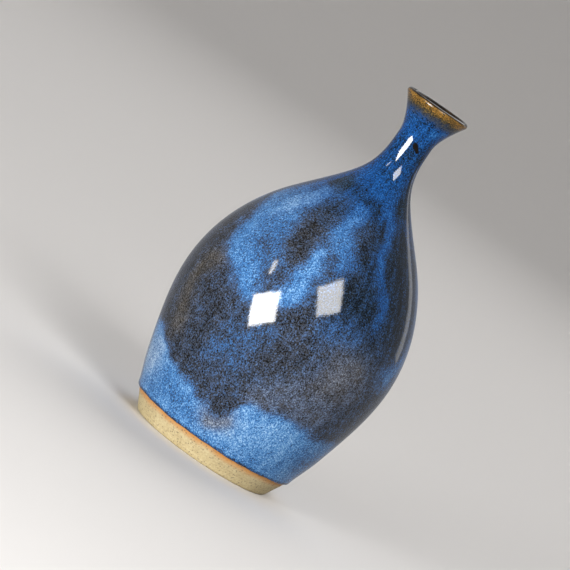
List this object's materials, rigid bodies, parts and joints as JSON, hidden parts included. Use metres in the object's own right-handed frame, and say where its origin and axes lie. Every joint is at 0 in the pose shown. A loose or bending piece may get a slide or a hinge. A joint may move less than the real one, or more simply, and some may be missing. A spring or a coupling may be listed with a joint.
{
  "type": "bud vase",
  "caption": "Glazed stoneware bud vase: round-bellied bottle on a bare clay foot, rising into a slim neck with a small flared lip.",
  "frame": {"origin": "centre of the foot, on the plane that the vase stands on", "axes": "+Z along the turning axis, up through the mouth; +X and +Y across, with -Y the side that the picture shows"},
  "size_m": [0.0778, 0.0778, 0.135],
  "materials": {
    "bare_clay": "matte, fine dark specks, orange flash under the glaze",
    "blue_glaze": "glossy, fine blue speckle over charcoal with milky blue streaks",
    "amber_glaze": "glossy, amber and olive, breaking to near black on the lip",
    "liner_glaze": "glossy, dark blue"
  },
  "bodies": {
    "root": {"clay_body": "bare_clay", "outer_glaze": "blue_glaze", "lip_glaze": "amber_glaze", "inner_glaze": "liner_glaze"}
  },
  "joints": []
}
